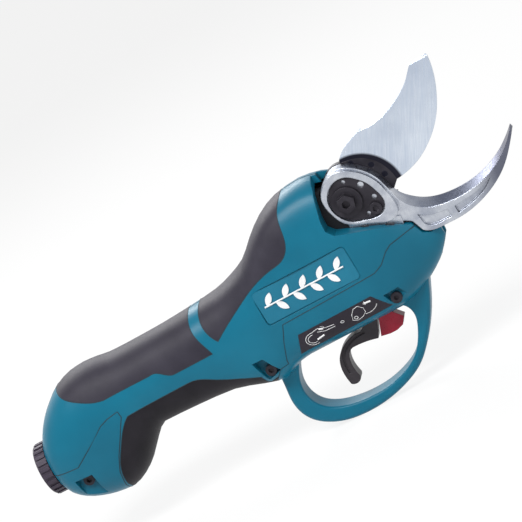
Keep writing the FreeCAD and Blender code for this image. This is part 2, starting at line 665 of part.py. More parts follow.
def blade_outline(bevel):
    """Bright part of the moving blade, with its cutting edge moved in by the bevel."""
    edge = []
    for i, (x, z) in enumerate(blade_back):
        reach = math.hypot(x, z)
        share = bevel if 1 < i < len(blade_back) - 1 else bevel * 0.3
        edge.append((x - x / reach * share * 0.55 - 0.45 * share, z - z / reach * share * 0.2 + 0.75 * share))
    return outline(edge[0], edge[1:], [(61.9 + bevel * 0.1, 45.1)], blade_spine, [(15.0, 25.2), (8.0, 21.4),
                   (5.0, 18.6)], [arc_line[0]], arc_line[1:], [edge[0]])


blade = slab(blade_outline(0.0), -half_blade, 0.4)
blade = blade.fuse(upright(Part.makeLoft([shifted(blade_outline(0.0), 0.4),
                                          shifted(blade_outline(3.6), half_blade)], True, True)))
lap_line = outline((3.2, 16.0), [(11.0, 12.0), (16.0, 8.0), (19.0, 3.0), (20.0, -2.0)], [(28.0, -3.0)],
                   [(27.0, 6.0), (22.0, 13.0), (15.0, 17.6), (6.0, 20.0)])
lap_y = 0.2
blade = blade.fuse(slab(lap_line, lap_y, half_blade).common(slab(closed_curve(
    [(3.0, 15.2), (11.0, 12.2), (16.0, 8.2), (19.2, 3.0), (20.4, -2.0), (27.0, -3.4), (34.0, 2.0), (30.0, 12.0),
     (22.0, 20.0), (10.0, 20.0)]), lap_y, half_blade)))

sector_angles = [math.radians(a) for a in (-108, -24)]
reach = 40.0
wedge = polygon([(0, 0), (reach * math.cos(sector_angles[0]), reach * math.sin(sector_angles[0])),
                 (reach * 0.6, -reach * 1.2), (reach * math.cos(sector_angles[1]), reach * math.sin(sector_angles[1]))])
sector_points = gear_points(rack_module, sector_teeth_full, -rack_backlash / 2)
turned = []
for x, z in sector_points:
    turned.append((z, -x))
sector = slab(polygon(turned), -half_blade, half_blade).common(slab(wedge, -half_blade, half_blade))
arm_line = outline((26.2, -4.2), [(25.8, -0.6)], arc_line[-2::-1], [(-1.0, 17.2), (-8.0, 13.0), (-13.6, 6.0),
                   (-14.4, -2.0), (-11.0, -10.0), (-6.0, -16.0)], [(8.0, -18.0)], [(20.0, -10.0)])
arm = slab(arm_line, -half_blade, half_blade).fuse(sector)
arm = arm.cut(blade)
rivet_places = [(9.4, 14.4), (18.4, 8.8), (22.0, 1.2)]
rivets = []
for rx_, rz_ in rivet_places:
    rivets.append(cyl_y(rx_, rz_, rivet_radius, -half_blade, half_blade))
arm = arm.cut(rivets + [cyl_y(0, 0, bush_radius + running_gap, -10, 10)])
save("cutting_blade", largest(blade.cut(rivets)))
save("blade_gear", largest(arm))
save("blade_rivets", Part.makeCompound(rivets))

bush = cyl_y(0, 0, bush_radius, hook_back_y - 2.0, cheek_y + 2.0).cut(cyl_y(0, 0, bolt_radius, -10, 10))
save("pivot_bush", bush)

# ---------- head frame ----------

print("head frame")
cheek_line = outline((-33.0, -27.5), [(-33.0, 6.0)], [(-26.0, 10.5)], [(-9.0, 10.8), (-1.0, 7.6), (8.0, -1.0),
                     (15.0, -10.5), (19.5, -17.5)], [(19.5, -27.5)])
near_cheek = slab(cheek_line, -frame_cheek_depth, -cheek_y)
far_cheek = slab(cheek_line, cheek_y, cheek_y + frame_cheek_width)
web = box(-33.0, -sector_tip_radius - 1.2, -frame_cheek_depth, cheek_y + frame_cheek_width, -14.0, 4.0)
frame_cuts = [slab(closed_curve(about_ring(ring_boss, 0.5)), -40, 0), slab(hook_outline(edge_curve), -40, 0),
              foot, cyl_y(0, 0, bolt_radius, -20, 30), cyl_y(0, 0, bush_radius, -2, cheek_y + 2.0)]
for fx, fz in foot_screws:
    frame_cuts.append(cyl_y(fx, fz, 1.6, -20, 0))
frame = near_cheek.fuse([far_cheek, web]).common(cavity.fuse(well)).cut(frame_cuts)
save("head_frame", largest(frame))
nut_y = cheek_y + frame_cheek_width
save("pivot_nut", hex_y(0, 0, nut_flats, nut_y, nut_y + nut_height).cut(cyl_y(0, 0, bolt_radius, 0, 40)))

# ---------- screw, nut and rack ----------

print("drive")
screw_start_x = bearing_x
screw = cyl_x(0, drive_z, screw_radius, bearing_x + bearing_width + 1.0, screw_front_x)
thread = []
ring_x = bearing_x + bearing_width + 4.0
while ring_x < screw_front_x - 2.0:
    thread.append(tube_x(0, drive_z, screw_radius + 1, screw_radius - thread_depth, ring_x, ring_x + 1.4))
    ring_x += thread_pitch / 2
screw = screw.cut(thread)
screw = screw.fuse([cyl_x(0, drive_z, bearing_bore_radius - running_gap, carrier_x + carrier_thickness,
                          bearing_x + bearing_width + 1.2),
                    cyl_x(0, drive_z, 3.0 - running_gap, screw_front_x - 0.2, front_bearing_x + front_bearing_width)])
save("ball_screw", screw)

nut_rear = nut_front - nut_length
rack_pitch = math.pi * rack_module
rack_line_z = -sector_pitch_radius
rack_root_z = rack_line_z - 1.25 * rack_module
bar_low_z = drive_z + nut_radius - 1.0
bar_front = nut_travel + 5.4
slope = math.tan(math.radians(20))
half_tooth = (rack_pitch / 2 - rack_backlash) / 2
teeth_line = [(nut_rear, bar_low_z), (nut_rear, rack_root_z)]
first = math.ceil((nut_rear + 14.0) / rack_pitch)
last = math.floor((bar_front - 2.2) / rack_pitch - 0.5)
for k in range(first, last + 1):
    centre = (k + 0.5) * rack_pitch
    root_half = half_tooth + 1.25 * rack_module * slope
    tip_half = half_tooth - rack_module * slope
    teeth_line += [(centre - root_half, rack_root_z), (centre - tip_half, rack_line_z + rack_module),
                   (centre + tip_half, rack_line_z + rack_module), (centre + root_half, rack_root_z)]
teeth_line += [(bar_front, rack_root_z), (bar_front, bar_low_z)]
rack = slab(polygon(teeth_line), -half_blade, half_blade)
save("rack", rack)
nut = cyl_x(0, drive_z, nut_radius, nut_rear, nut_front).cut(cyl_x(0, drive_z, screw_radius + 0.06, -200, 100))
wings = box(nut_rear + 4, nut_front - 4, -nut_radius - 2.4, nut_radius + 2.4, drive_z - 2.0, drive_z + 2.0)
nut = nut.fuse(wings.cut(cyl_x(0, drive_z, nut_radius - 1, -200, 100))).cut(rack)
save("ball_nut", largest(nut))

rails = []
rail_y = nut_radius + 2.4
for side in (-1, 1):
    low, high = sorted((side * (nut_radius + 0.8), side * (rail_y + 2.4)))
    rail = box(case_front_x + 0.5, front_bearing_x + front_bearing_width, low, high, drive_z - 4.2, drive_z + 4.2)
    low, high = sorted((side * (nut_radius - 1), side * (rail_y + 0.12)))
    rail = rail.cut(box(-200, nut_front + 1.0, low, high, drive_z - 2.12, drive_z + 2.12))
    rails.append(largest(rail.common(cavity)))
save("nut_guides", Part.makeCompound(rails))
bearing = tube_x(0, drive_z, front_bearing_radius, 3.0, front_bearing_x, front_bearing_x + front_bearing_width)
save("front_bearing", bearing)
block = box(front_bearing_x, front_bearing_x + front_bearing_width, -nut_radius - 0.8, nut_radius + 0.8,
            drive_z - 8.6, drive_z + 7.0)
save("front_bearing_block", block.cut(cyl_x(0, drive_z, front_bearing_radius, 0, 60)))
save("screw_bearing", tube_x(0, drive_z, bearing_radius, bearing_bore_radius, bearing_x, bearing_x + bearing_width))

# ---------- gearbox ----------

case = cyl_x(0, drive_z, gearbox_radius, case_rear_x, case_front_x)
ring_cut = gear_x_axis(gear_points(gear_module, ring_teeth, gear_backlash / 2, 1.25, 0.9), gear_x - 0.5, gear_x + gear_width + 0.5)
case = case.cut([ring_cut, cyl_x(0, drive_z, ring_pitch_radius + 0.2, gear_x + gear_width + 0.4, bearing_x),
                 cyl_x(0, drive_z, bearing_radius, bearing_x, bearing_x + bearing_width),
                 cyl_x(0, drive_z, bearing_radius - 2.5, bearing_x, case_front_x + 1),
                 cyl_x(0, drive_z, ring_pitch_radius - 1.0, gear_x - 0.6, gear_x),
                 cyl_x(0, drive_z, 5.0, case_rear_x - 1, gear_x)])
save("gearbox_case", case)
sun = gear_x_axis(gear_points(gear_module, sun_teeth, -gear_backlash / 2), gear_x, gear_x + gear_width)
save("sun_gear", sun.cut(cyl_x(0, drive_z, motor_shaft_radius, gear_x - 1, gear_x + gear_width + 1)))
pins = []
for k in range(planet_count):
    angle = 360.0 * k / planet_count
    planet = gear_x_axis(gear_points(gear_module, planet_teeth, -gear_backlash / 2), gear_x + 0.2,
                         gear_x + gear_width - 0.2, planet_orbit, drive_z)
    planet = planet.cut(cyl_x(planet_orbit, drive_z, planet_pin_radius + running_gap, gear_x - 1,
                              gear_x + gear_width + 1))
    planet.rotate(V(0, 0, drive_z), V(1, 0, 0), angle)
    save("planet_gear_%d" % (k + 1), planet)
    pin = cyl_x(planet_orbit, drive_z, planet_pin_radius, gear_x, carrier_x + carrier_thickness)
    pin.rotate(V(0, 0, drive_z), V(1, 0, 0), angle)
    pins.append(pin)
save("planet_pins", Part.makeCompound(pins))
carrier = cyl_x(0, drive_z, ring_pitch_radius - 0.6, carrier_x, carrier_x + carrier_thickness)
save("planet_carrier", carrier.cut(pins))

# ---------- motor ----------

print("motor")
can = cyl_x(0, drive_z, motor_radius, motor_rear_x, motor_front_x)
can = can.cut([cyl_x(0, drive_z, motor_radius - motor_wall, motor_rear_x - 1, motor_front_x - 2.0),
               cyl_x(0, drive_z, motor_bearing_radius, motor_front_x - 3.0, motor_front_x + 1)])
save("motor_case", can)
cap_front = motor_rear_x + 4.0
end_cap = cyl_x(0, drive_z, motor_radius - motor_wall, motor_rear_x, cap_front)
save("motor_end_cap", end_cap.cut(cyl_x(0, drive_z, motor_bearing_radius, motor_rear_x - 1, motor_rear_x + 4.5)))
motor_bearings = []
for x0, x1 in [(motor_front_x - 2.0, motor_front_x), (motor_rear_x, motor_rear_x + motor_bearing_width)]:
    motor_bearings.append(tube_x(0, drive_z, motor_bearing_radius, motor_shaft_radius + running_gap, x0, x1))
save("motor_bearings", Part.makeCompound(motor_bearings))
magnet_outer = motor_radius - motor_wall
magnet_inner = magnet_outer - magnet_thickness
core_front = motor_front_x - 8.0
core_rear = motor_rear_x + 18.0
magnets = tube_x(0, drive_z, magnet_outer, magnet_inner, core_rear - 1.5, core_front + 1.5)
magnets = magnets.cut([box(-200, 0, -3.5, 3.5, drive_z - 20, drive_z + 20)])
save("motor_magnets", magnets)
core_radius = magnet_inner - rotor_gap
core = cyl_x(0, drive_z, core_radius, core_rear, core_front)
slots = []
for k in range(9):
    slot = box(core_rear - 1, core_front + 1, -0.8, 0.8, drive_z + 4.0, drive_z + core_radius + 1)
    slot.rotate(V(0, 0, drive_z), V(1, 0, 0), 40.0 * k)
    slots.append(slot)
core = core.cut(slots + [cyl_x(0, drive_z, motor_shaft_radius, -300, 0)])
save("rotor_core", core)
winding = []
for x0, x1 in [(core_rear - 4.0, core_rear), (core_front, core_front + 4.0)]:
    winding.append(tube_x(0, drive_z, core_radius - 1.2, motor_shaft_radius + 1.6, x0, x1))
save("rotor_windings", Part.makeCompound(winding))
commutator = tube_x(0, drive_z, 4.6, motor_shaft_radius, core_rear - 12.0, core_rear - 5.0)
save("commutator", commutator)
save("motor_shaft", cyl_x(0, drive_z, motor_shaft_radius, motor_rear_x + 0.4, gear_x + gear_width))
brushes = []
for side in (-1, 1):
    low, high = sorted((side * 4.75, side * 12.0))
    brushes.append(box(core_rear - 11.0, core_rear - 6.0, low, high, drive_z - 2.0, drive_z + 2.0)
                   .cut(cyl_x(0, drive_z, 4.65, -300, 0)))
save("motor_brushes", Part.makeCompound(brushes))

# ---------- trigger and lock ----------

print("trigger")
half_trigger = trigger_width / 2
lever_line = outline((-19.0, -58.5), [(-21.6, -66.0), (-25.2, -73.6)], [(-31.7, -72.2), (-39.4, -71.7)],
                     [(-42.4, -73.4), (-44.3, -77.8), (-44.6, -82.5), (-43.9, -86.8)],
                     [(-45.4, -89.2), (-47.8, -89.7), (-50.2, -88.6)], [(-50.8, -81.6), (-49.0, -74.4),
                     (-45.4, -70.1), (-40.4, -67.2), (-35.2, -65.8)], [(-30.4, -65.2), (-28.0, -62.5), (-26.6, -56.0)])
lever = slab(lever_line, -half_trigger, half_trigger)
lever = lever.fuse(cyl_y(trigger_pin_x, trigger_pin_z, trigger_hub_radius, -half_trigger, half_trigger))
rib_line = outline((-30.0, -67.8), [(-36.0, -68.2), (-41.0, -69.9), (-44.9, -73.0), (-46.8, -77.5), (-47.0, -83.0)],
                   [(-48.2, -83.0)], [(-48.0, -77.2), (-46.0, -72.2), (-41.6, -68.7), (-36.0, -67.0), (-30.0, -66.6)])
lever = lever.cut([slab(rib_line, -20, -half_trigger + 0.7), slab(rib_line, half_trigger - 0.7, 20),
                   cyl_y(trigger_pin_x, trigger_pin_z, trigger_pin_radius + running_gap, -20, 20)])
save("trigger", largest(lever))
lock_clearance = slab(polygon([(-27.0, -50.0), (-18.6, -58.0), (-21.0, -66.2), (-24.4, -73.0), (-24.6, -80.0),
                               (-40.0, -80.0), (-40.0, -50.0)]), -20, 20)
save("trigger_pin", cyl_y(trigger_pin_x, trigger_pin_z, trigger_pin_radius, -slot_y - 6.0, slot_y + 6.0))
half_lock = lock_width / 2
lock_line = [(-17.6, -56.0), (-20.0, -64.6), (-23.6, -73.6), (-18.5, -74.6), (-14.5, -74.6), (-10.5, -73.4),
             (-7.7, -69.6), (-12.2, -64.4), (-10.8, -57.0)]
lock = slab(polygon(lock_line), -half_lock, half_lock)
lock = lock.fuse(cyl_y(lock_pin_x, lock_pin_z, 3.2, -half_lock, half_lock))
lock = lock.cut(cyl_y(trigger_pin_x, trigger_pin_z, trigger_hub_radius + 0.6, -20, 20))
lock = lock.cut(cyl_y(lock_pin_x, lock_pin_z, trigger_pin_radius + running_gap, -20, 20))
lock = lock.cut(lock_clearance)
save("trigger_lock", largest(lock))
save("lock_pin", cyl_y(lock_pin_x, lock_pin_z, trigger_pin_radius, -slot_y - 6.0, slot_y + 6.0))
coil_radius = 2.7
coil_wire = 0.4
spring_y = half_trigger + 0.7
coils = []
for k in range(3):
    coils.append(Part.makeTorus(coil_radius, coil_wire, V(trigger_pin_x, spring_y + 0.7 * k, trigger_pin_z),
                                V(0, 1, 0)))
spring = coils[0].fuse(coils[1:])
save("trigger_spring", spring)
sensor = box(-42.0, -30.0, -6.0, 6.0, drive_z - nut_radius - 5.0, drive_z - nut_radius - 3.4)
chip = box(-33.5, -30.5, -2.0, 2.0, drive_z - nut_radius - 6.6, drive_z - nut_radius - 5.0)
save("trigger_sensor_board", sensor.fuse(chip))

# ---------- electronics and cord socket ----------

print("socket")
board_low = -42.0
board_x0, board_x1 = grip_rear_x - 34.0, grip_rear_x - 4.0
save("control_board", box(board_x0, board_x1, -0.8, 0.8, board_low, board_low + 20.0))
parts = []
for cx, cz in [(board_x0 + 6.0, board_low + 6.0), (board_x0 + 6.0, board_low + 15.0), (board_x1 - 7.0, board_low + 10.0)]:
    parts.append(cyl_y(cx, cz, 3.6, 0.8, 11.0))
parts.append(box(board_x0 + 12, board_x1 - 13, 0.8, 4.0, board_low + 2.0, board_low + 17.0))
save("board_components", Part.makeCompound(parts))
sink = box(board_x0 + 2, board_x1 - 3, -3.0, -0.8, board_low + 2, board_low + 18)
fins = []
for k in range(6):
    fins.append(box(board_x0 + 3 + 4.2 * k, board_x0 + 4.2 + 4.2 * k, -9.0, -2.8, board_low + 2, board_low + 18))
save("heat_sink", sink.fuse(fins))

face_x = casing_rear_x
socket_radius = socket_bore_radius + socket_wall
mouth_x = face_x - lock_ring_length - 0.8
bore_end_x = mouth_x + socket_bore_depth
floor_x = bore_end_x + contact_well_depth
socket = cyl_x(0, socket_z, socket_radius, mouth_x, floor_x + 3.0)
flange_x = face_x + pad_thickness + shell_wall
socket = socket.fuse(cyl_x(0, socket_z, socket_radius + 2.0, flange_x, flange_x + 2.5))
socket = socket.cut([cyl_x(0, socket_z, socket_bore_radius, mouth_x - 1, bore_end_x),
                     cyl_x(0, socket_z, socket_bore_radius - 1.0, mouth_x - 1, floor_x)])
contacts = []
for k in range(4):
    angle = math.radians(90 * k + 45)
    contacts.append(cyl_x(4.0 * math.cos(angle), socket_z + 4.0 * math.sin(angle), contact_radius,
                          floor_x - contact_length, floor_x + 6.0))
socket = socket.cut(contacts)
save("cord_socket", socket)
save("contact_pins", Part.makeCompound(contacts))
ring_inner = socket_radius + 0.3
lock_ring = tube_x(0, socket_z, lock_ring_radius - 0.8, ring_inner, face_x - 0.5 - lock_ring_length, face_x - 0.5)
ribs = []
for k in range(24):
    rib = box(face_x - lock_ring_length + 0.3, face_x - 0.5, -0.9, 0.9, socket_z + lock_ring_radius - 2.0,
              socket_z + lock_ring_radius)
    rib.rotate(V(0, 0, socket_z), V(1, 0, 0), 15.0 * k)
    ribs.append(rib)
save("socket_lock_ring", lock_ring.fuse(ribs))


def wire_path(points, radius, bend):
    """A round wire along straight runs joined by tangent arcs."""
    edges = []
    start = V(*points[0])
    for i in range(1, len(points) - 1):
        corner = V(*points[i])
        before = (V(*points[i - 1]) - corner).normalize()
        after = (V(*points[i + 1]) - corner).normalize()
        half = before.getAngle(after) / 2
        back = bend / math.tan(half)
        a = corner + before * back
        b = corner + after * back
        middle_dir = (before + after).normalize()
        m = corner + middle_dir * (bend / math.sin(half) - bend)
        edges.append(Part.makeLine(start, a))
        edges.append(Part.Arc(a, m, b).toShape())
        start = b
    edges.append(Part.makeLine(start, V(*points[-1])))
    path = Part.Wire(edges)
    direction = (V(*points[1]) - V(*points[0])).normalize()
    circle = Part.Wire(Part.makeCircle(radius, V(*points[0]), direction))
    return path.makePipeShell([circle], True, False)


cable_z = drive_z - motor_radius - 1.7
supply = []
for side in (-1, 1):
    supply.append(wire_path([(floor_x + 6.0, side * 2.83, socket_z + 2.83), (board_x0 + 4.0, side * 2.83, socket_z + 2.83),
                             (board_x0 + 10.0, side * 1.9, board_low - 1.2)], 1.0, 2.5))
for side in (-1, 1):
    supply.append(wire_path([(board_x1, side * 2.0, drive_z + 4.0), (board_x1 + 3.5, side * 4.0, drive_z + 5.0),
                                  (motor_rear_x - 0.9, side * 8.5, drive_z + 5.5)], 1.0, 1.6))
save("power_wires", Part.makeCompound(supply))
save("signal_cable", wire_path([(board_x1 - 6.0, 0, board_low), (board_x1 - 6.0, 0, cable_z),
                                (-68.5, 0, cable_z), (-60.0, 0, drive_z - nut_radius - 4.2),
                                (-42.0, 0, drive_z - nut_radius - 4.2)], 0.8, 4.0))
print("nodes:", len(os.listdir("parts")))
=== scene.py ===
import json
import math
import bpy
import bmesh
from mathutils import Matrix, Vector
from mathutils.bvhtree import BVHTree


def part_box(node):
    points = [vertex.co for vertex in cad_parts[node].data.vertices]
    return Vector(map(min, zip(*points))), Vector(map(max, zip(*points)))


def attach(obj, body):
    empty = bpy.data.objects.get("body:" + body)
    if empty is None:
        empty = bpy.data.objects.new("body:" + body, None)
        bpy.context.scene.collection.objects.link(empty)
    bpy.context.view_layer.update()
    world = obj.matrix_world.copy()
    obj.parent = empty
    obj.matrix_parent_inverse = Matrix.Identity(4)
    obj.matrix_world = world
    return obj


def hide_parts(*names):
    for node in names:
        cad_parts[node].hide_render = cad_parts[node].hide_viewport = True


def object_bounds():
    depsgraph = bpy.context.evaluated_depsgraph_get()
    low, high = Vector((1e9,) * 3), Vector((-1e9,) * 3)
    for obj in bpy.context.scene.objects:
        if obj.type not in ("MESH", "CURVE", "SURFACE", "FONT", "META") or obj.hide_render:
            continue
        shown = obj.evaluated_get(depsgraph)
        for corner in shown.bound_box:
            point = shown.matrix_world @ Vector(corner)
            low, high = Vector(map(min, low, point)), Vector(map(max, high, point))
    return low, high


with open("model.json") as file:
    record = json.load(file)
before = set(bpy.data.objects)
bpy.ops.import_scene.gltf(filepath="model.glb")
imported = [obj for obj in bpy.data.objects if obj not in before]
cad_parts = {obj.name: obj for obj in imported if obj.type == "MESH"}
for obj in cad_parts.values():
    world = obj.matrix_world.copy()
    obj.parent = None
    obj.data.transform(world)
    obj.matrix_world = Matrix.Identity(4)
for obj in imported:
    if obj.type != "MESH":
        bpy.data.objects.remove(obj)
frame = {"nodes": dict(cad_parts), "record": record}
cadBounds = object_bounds()
scene = bpy.context.scene
record = frame["record"]
slotOfNode = {part["node"]: part["material_slot"] for part in record["subparts"]}
bodyOfNode = {node: body for body, nodes in record["behaviour"]["bodies"].items() for node in nodes}
mm = 0.001
print("frame loaded:", len(frame["nodes"]), "nodes")


# camera: angles in degrees, lengths in metres but the sensor in millimetres; right and up
# are how far the pivot stands off the middle of the frame
cameraLook = dict(yaw=15.0, lift=13.0, roll=31.45, distance=2.5, width=0.2659, right=0.0438, up=0.0301,
                  sensor=36.0, clipEnd=20.0)


def aimCamera():
    yaw, lift, roll = (math.radians(cameraLook[name]) for name in ("yaw", "lift", "roll"))
    level = Vector((math.cos(yaw), math.sin(yaw), 0.0))
    back = Vector((math.sin(yaw) * math.cos(lift), -math.cos(yaw) * math.cos(lift), math.sin(lift)))
    upright = back.cross(level)
    right = level * math.cos(roll) - upright * math.sin(roll)
    up = level * math.sin(roll) + upright * math.cos(roll)
    pivot = Vector((0.0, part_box("locking_plate")[0].y, 0.0))
    target = pivot - right * cameraLook["right"] - up * cameraLook["up"]
    lens = bpy.data.cameras.new("camera")
    lens.sensor_width = cameraLook["sensor"]
    lens.lens = lens.sensor_width * cameraLook["distance"] / cameraLook["width"]
    lens.clip_end = cameraLook["clipEnd"]
    camera = bpy.data.objects.new("camera", lens)
    scene.collection.objects.link(camera)
    turn = Matrix((right, up, back)).transposed()
    camera.matrix_world = Matrix.Translation(target + back * cameraLook["distance"]) @ turn.to_4x4()
    scene.camera = camera


studioLook = dict(sky=0.22, floorWhite=0.85, floorGrey=0.9, floorHalf=3.0)
lampLooks = {
    "keyLamp": dict(offset=(-0.15, -0.55, 0.75), size=(0.7, 0.35), power=10.0),
    "fillLamp": dict(offset=(0.75, -0.6, 0.1), size=(0.5, 0.5), power=1.5),
    "rimLamp": dict(offset=(-0.35, 0.7, 0.55), size=(0.6, 0.3), power=5.0),
}


def addMath(tree, operation, first, second=None):  # each operand is a socket or a number
    node = tree.nodes.new("ShaderNodeMath")
    node.operation = operation
    for socket, value in zip(node.inputs, (first, second)):
        if isinstance(value, bpy.types.NodeSocket):
            tree.links.new(value, socket)
        elif value is not None:
            socket.default_value = value
    return node.outputs[0]


def spread(tree, value, low, high, fromLow=0.3, fromHigh=0.7):  # maps a value's range on to low...high
    node = tree.nodes.new("ShaderNodeMapRange")
    node.inputs["From Min"].default_value = fromLow
    node.inputs["From Max"].default_value = fromHigh
    node.inputs["To Min"].default_value = low
    node.inputs["To Max"].default_value = high
    tree.links.new(value, node.inputs["Value"])
    return node.outputs["Result"]


def addSeenFactor(tree):  # 1 on rays from the eye, off a shine or through glass, 0 on rays that only light
    path = tree.nodes.new("ShaderNodeLightPath")
    seen = path.outputs["Is Camera Ray"]
    for ray in ("Is Glossy Ray", "Is Transmission Ray"):
        seen = addMath(tree, "MAXIMUM", seen, path.outputs[ray])
    return seen


def addLamp(name, look, target):
    light = bpy.data.lights.new(name, "AREA")
    light.shape = "RECTANGLE"
    light.size, light.size_y = look["size"]
    light.energy = look["power"]
    lamp = bpy.data.objects.new(name, light)
    scene.collection.objects.link(lamp)
    lamp.location = target + Vector(look["offset"])
    lamp.rotation_euler = (-Vector(look["offset"])).to_track_quat("-Z", "Y").to_euler()


def buildStudio():  # the sky is dim where it only lights the object and white where it is seen
    scene.view_settings.view_transform = "Standard"
    world = bpy.data.worlds.new("studio")
    scene.world = world
    world.use_nodes = True
    tree = world.node_tree
    background = tree.nodes["Background"]
    background.inputs["Color"].default_value = (1.0, 1.0, 1.0, 1.0)
    strength = spread(tree, addSeenFactor(tree), studioLook["sky"], 1.0, 0.0, 1.0)
    tree.links.new(strength, background.inputs["Strength"])
    for name, look in lampLooks.items():
        addLamp(name, look, (cadBounds[0] + cadBounds[1]) / 2)


def buildFloor():  # mostly glowing white where it is seen, with the object's shadow kept
    half, low, grey = studioLook["floorHalf"], cadBounds[0].z, studioLook["floorGrey"]
    mesh = bpy.data.meshes.new("floor")
    mesh.from_pydata([(-half, -half, low), (half, -half, low), (half, half, low), (-half, half, low)],
                     [], [(0, 1, 2, 3)])
    floor = bpy.data.objects.new("floor", mesh)
    scene.collection.objects.link(floor)
    material = bpy.data.materials.new("paleFloor")
    material.use_nodes = True
    tree = material.node_tree
    tree.nodes.clear()
    paint = tree.nodes.new("ShaderNodeBsdfDiffuse")
    paint.inputs["Color"].default_value = (grey, grey, grey, 1.0)
    glow = tree.nodes.new("ShaderNodeEmission")
    mix = tree.nodes.new("ShaderNodeMixShader")
    output = tree.nodes.new("ShaderNodeOutputMaterial")
    share = addMath(tree, "MULTIPLY", addSeenFactor(tree), studioLook["floorWhite"])
    tree.links.new(share, mix.inputs["Fac"])
    tree.links.new(paint.outputs[0], mix.inputs[1])
    tree.links.new(glow.outputs[0], mix.inputs[2])
    tree.links.new(mix.outputs[0], output.inputs["Surface"])
    mesh.materials.append(material)


aimCamera()
buildStudio()
buildFloor()
print("camera, lamps and floor ready")


# finishes: wide patches of tone, fine grain that also sets the gloss and the bump, and masks
finishBasis = dict(patchScale=40.0, patchDetail=3.0, grainDetail=4.0, stretch=(1.0, 1.0, 1.0),
                   turn=(0.0, 0.0, 0.0), metallic=0.0, specular=0.5, bump=0.15, bumpDepth=0.1 * mm,
                   edgeSamples=4)


def objectNoise(tree, scale, detail, stretch=(1.0, 1.0, 1.0), turn=(0.0, 0.0, 0.0)):
    coords = tree.nodes.new("ShaderNodeTexCoord")
    mapping = tree.nodes.new("ShaderNodeMapping")
    mapping.vector_type = "TEXTURE"
    mapping.inputs["Rotation"].default_value = turn
    mapping.inputs["Scale"].default_value = stretch
    noise = tree.nodes.new("ShaderNodeTexNoise")
    noise.inputs["Scale"].default_value = scale
    noise.inputs["Detail"].default_value = detail
    tree.links.new(coords.outputs["Object"], mapping.inputs["Vector"])
    tree.links.new(mapping.outputs["Vector"], noise.inputs["Vector"])
    return noise.outputs["Fac"]


def mixColours(tree, factor, first, second):  # each colour is a socket or three numbers
    node = tree.nodes.new("ShaderNodeMix")
    node.data_type = "RGBA"
    sockets = {socket.identifier: socket for socket in (*node.inputs, *node.outputs)}
    tree.links.new(factor, sockets["Factor_Float"])
    for identifier, colour in (("A_Color", first), ("B_Color", second)):
        if isinstance(colour, tuple):
            sockets[identifier].default_value = (*colour, 1.0)
        else:
            tree.links.new(colour, sockets[identifier])
    return sockets["Result_Color"]


def objectAxis(tree, output, axis):
    coords = tree.nodes.new("ShaderNodeTexCoord")
    axes = tree.nodes.new("ShaderNodeSeparateXYZ")
    tree.links.new(coords.outputs[output], axes.inputs["Vector"])
    return axes.outputs[axis]


def discMask(tree, disc):  # 1 within a disc that lies in the XZ plane, with a narrow soft rim
    coords = tree.nodes.new("ShaderNodeTexCoord")
    flatten = tree.nodes.new("ShaderNodeVectorMath")
    flatten.operation = "MULTIPLY"
    flatten.inputs[1].default_value = (1.0, 0.0, 1.0)
    gap = tree.nodes.new("ShaderNodeVectorMath")
    gap.operation = "DISTANCE"
    gap.inputs[1].default_value = disc["centre"]
    tree.links.new(coords.outputs["Object"], flatten.inputs[0])
    tree.links.new(flatten.outputs["Vector"], gap.inputs[0])
    inner, outer = disc["radius"] - disc["rim"], disc["radius"] + disc["rim"]
    return spread(tree, gap.outputs["Value"], 1.0, 0.0, inner, outer)


def reachMask(tree, reach):  # grows along +X from the start to the end
    return spread(tree, objectAxis(tree, "Object", "X"), 0.0, reach["share"], reach["start"], reach["end"])


def slopeReflectionMask(tree, slope):  # painted dark reflection: faces that turn away from the flat sides, within the same reach
    flatness = addMath(tree, "ABSOLUTE", objectAxis(tree, "Normal", "Y"))
    tilted = spread(tree, flatness, 1.0, 0.0, slope["tilted"], slope["flat"])
    return addMath(tree, "MULTIPLY", tilted, reachMask(tree, slope))


def makeFinish(name, changes):
    look = {**finishBasis, **changes}
    material = bpy.data.materials.new(name)
    material.use_nodes = True
    tree = material.node_tree
    shader = tree.nodes["Principled BSDF"]
    patches = objectNoise(tree, look["patchScale"], look["patchDetail"])
    grain = objectNoise(tree, look["grainScale"], look["grainDetail"], look["stretch"], look["turn"])
    colour = mixColours(tree, spread(tree, patches, 0.0, 1.0), look["dark"], look["light"])
    if "streak" in look:
        colour = mixColours(tree, spread(tree, grain, 0.0, look["streakShare"]), colour, look["streak"])
    # the masks on the hook's bevels and tip paint dark reflection into its colour
    for mask, maker in (("disc", discMask), ("slope", slopeReflectionMask), ("tip", reachMask)):
        if mask in look:
            colour = mixColours(tree, maker(tree, look[mask]), colour, look[mask]["colour"])
    tree.links.new(colour, shader.inputs["Base Color"])
    tree.links.new(spread(tree, grain, *look["roughness"]), shader.inputs["Roughness"])
    shader.inputs["Metallic"].default_value = look["metallic"]
    shader.inputs["Specular IOR Level"].default_value = look["specular"]
    bump = tree.nodes.new("ShaderNodeBump")
    bump.inputs["Strength"].default_value = look["bump"]
    bump.inputs["Distance"].default_value = look["bumpDepth"]
    tree.links.new(grain, bump.inputs["Height"])
    if "edge" in look:
        rounding = tree.nodes.new("ShaderNodeBevel")
        rounding.samples = look["edgeSamples"]
        rounding.inputs["Radius"].default_value = look["edge"]
        tree.links.new(rounding.outputs["Normal"], bump.inputs["Normal"])
    tree.links.new(bump.outputs["Normal"], shader.inputs["Normal"])
    return material


